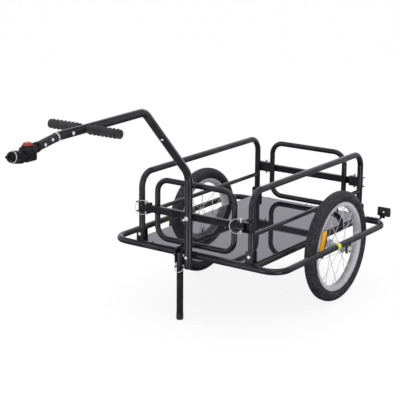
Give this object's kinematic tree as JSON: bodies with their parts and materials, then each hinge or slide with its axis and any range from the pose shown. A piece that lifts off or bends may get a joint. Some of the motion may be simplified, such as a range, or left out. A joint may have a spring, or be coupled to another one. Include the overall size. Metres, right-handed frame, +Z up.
{
  "type": "bicycle cargo trailer",
  "caption": "Open tube-frame bicycle cargo trailer: flat deck, folding sides, lift-off gates, bent tow arm with handle and quick-release coupler, prop stand, spoked wheels.",
  "frame": {"origin": "on the floor, midway along and across the overall box", "axes": "+Z up, -Y ahead towards the hitch, +X the trailer's left side; the wheel axles run along X"},
  "size_m": [0.712, 1.6822, 0.775],
  "materials": {
    "black_powder_coat": "satin black powder coat",
    "grey_deck": "fine textured grey panel",
    "tyre_rubber": "matt black tyre rubber with a shallow tread",
    "soft_rubber": "matt black rubber",
    "rim_aluminium": "satin aluminium",
    "zinc_steel": "bright zinc plated steel",
    "black_plastic": "moulded black plastic",
    "red_plastic": "gloss orange-red plastic",
    "amber_lens": "amber prismatic lens",
    "red_lens": "red prismatic lens"
  },
  "bodies": {
    "frame": {"base_loop": "black_powder_coat", "left_inner_rail": "black_powder_coat", "right_inner_rail": "black_powder_coat", "cross_member": "black_powder_coat", "deck_panel": "grey_deck", "front_left_fold_bolt": "zinc_steel", "front_right_fold_bolt": "zinc_steel", "rear_left_fold_bolt": "zinc_steel", "rear_right_fold_bolt": "zinc_steel", "stand_pivot_bolt": "zinc_steel", "tow_arm_foot_nut": "zinc_steel", "stand_bracket": "black_powder_coat", "left_axle": "zinc_steel", "right_axle": "zinc_steel", "left_inner_bearing": "zinc_steel", "left_outer_bearing": "zinc_steel", "right_inner_bearing": "zinc_steel", "right_outer_bearing": "zinc_steel", "left_reflector_mount": "black_powder_coat", "left_reflector_lens": "red_lens"},
    "left_side": {"left_side_hoop": "black_powder_coat", "left_side_rail": "black_powder_coat"},
    "right_side": {"right_side_hoop": "black_powder_coat", "right_side_rail": "black_powder_coat"},
    "front_gate": {"front_gate_loop": "black_powder_coat", "front_gate_rail": "black_powder_coat", "tow_arm": "black_powder_coat", "tow_arm_foot_bolt": "zinc_steel", "tow_arm_rail_bolt": "zinc_steel", "left_handle_grip": "soft_rubber", "right_handle_grip": "soft_rubber", "coupler_housing": "black_plastic", "button_spring": "zinc_steel"},
    "rear_gate": {"rear_gate_loop": "black_powder_coat", "rear_gate_rail": "black_powder_coat"},
    "front_left_pin": {"front_left_ring_pin": "zinc_steel"},
    "front_right_pin": {"front_right_ring_pin": "zinc_steel"},
    "rear_left_pin": {"rear_left_ring_pin": "zinc_steel"},
    "rear_right_pin": {"rear_right_ring_pin": "zinc_steel"},
    "button": {"release_button": "red_plastic", "latch_fork": "zinc_steel"},
    "hitch": {"coupler_stub": "black_plastic", "coupler_collar": "zinc_steel", "coupler_nose": "black_plastic"},
    "ball": {"ball_stud": "black_plastic"},
    "stand": {"stand_leg": "black_powder_coat", "stand_foot_cap": "soft_rubber"},
    "stand_ring": {"stand_ring_pin": "zinc_steel"},
    "left_wheel": {"left_tyre": "tyre_rubber", "left_inner_tube": "soft_rubber", "left_rim": "rim_aluminium", "left_spoked_hub": "rim_aluminium", "left_spoke_reflector": "amber_lens"},
    "right_wheel": {"right_tyre": "tyre_rubber", "right_inner_tube": "soft_rubber", "right_rim": "rim_aluminium", "right_spoked_hub": "rim_aluminium", "right_spoke_reflector": "amber_lens"}
  },
  "joints": [
    {"name": "left_wheel_spin", "type": "hinge", "parent": "frame", "child": "left_wheel", "pos_m": [0.2915, 0.50982, 0.2], "axis": [1, 0, 0], "continuous": true},
    {"name": "right_wheel_spin", "type": "hinge", "parent": "frame", "child": "right_wheel", "pos_m": [-0.2915, 0.50982, 0.2], "axis": [1, 0, 0], "continuous": true},
    {"name": "left_side_fold", "type": "hinge", "parent": "frame", "child": "left_side", "pos_m": [0.227, 0.50982, 0.2645], "axis": [0, -1, 0], "range_deg": [0, 68]},
    {"name": "right_side_fold", "type": "hinge", "parent": "frame", "child": "right_side", "pos_m": [-0.227, 0.50982, 0.2645], "axis": [0, 1, 0], "range_deg": [0, 68]},
    {"name": "front_gate_slide", "type": "slide", "parent": "frame", "child": "front_gate", "axis": [0, -1, 0], "range_m": [0, 0.48]},
    {"name": "rear_gate_slide", "type": "slide", "parent": "frame", "child": "rear_gate", "axis": [0, 1, 0], "range_m": [0, 0.48]},
    {"name": "front_left_pin_swivel", "type": "hinge", "parent": "front_gate", "child": "front_left_pin", "pos_m": [0.196, 0.03427, 0.366], "axis": [0, 0, 1], "range_deg": [-12, 100]},
    {"name": "front_right_pin_swivel", "type": "hinge", "parent": "front_gate", "child": "front_right_pin", "pos_m": [-0.196, 0.03427, 0.366], "axis": [0, 0, 1], "range_deg": [-12, 100]},
    {"name": "rear_left_pin_swivel", "type": "hinge", "parent": "rear_gate", "child": "rear_left_pin", "pos_m": [0.196, 0.80937, 0.366], "axis": [0, 0, 1], "range_deg": [-100, 30]},
    {"name": "rear_right_pin_swivel", "type": "hinge", "parent": "rear_gate", "child": "rear_right_pin", "pos_m": [-0.196, 0.80937, 0.366], "axis": [0, 0, 1], "range_deg": [-100, 30]},
    {"name": "button_press", "type": "slide", "parent": "front_gate", "child": "button", "axis": [0, 0, -1], "range_m": [0, 0.004], "stiffness_N_per_m": 900, "springref_m": -0.004, "deforming": ["button_spring"]},
    {"name": "hitch_swivel", "type": "hinge", "parent": "front_gate", "child": "hitch", "pos_m": [0, -0.77818, 0.7188], "axis": [0, -0.9848, 0.1736], "continuous": true},
    {"name": "ball_tilt", "type": "hinge", "parent": "hitch", "child": "ball", "pos_m": [0, -0.82525, 0.7271], "axis": [1, 0, 0], "range_deg": [-15, 15]},
    {"name": "stand_fold", "type": "hinge", "parent": "frame", "child": "stand", "pos_m": [-0.033, 0.01082, 0.232], "axis": [-1, 0, 0], "range_deg": [0, 90]},
    {"name": "stand_ring_swivel", "type": "hinge", "parent": "stand", "child": "stand_ring", "pos_m": [-0.033, 0.01082, 0.196], "axis": [-1, 0, 0], "range_deg": [0, 95]}
  ],
  "couplings": [
    {"joint": "right_side_fold", "follows": "left_side_fold", "ratio": 1},
    {"joint": "front_gate_slide", "follows": "left_side_fold", "m_per_rad": 0.4},
    {"joint": "rear_gate_slide", "follows": "left_side_fold", "m_per_rad": 0.4}
  ]
}
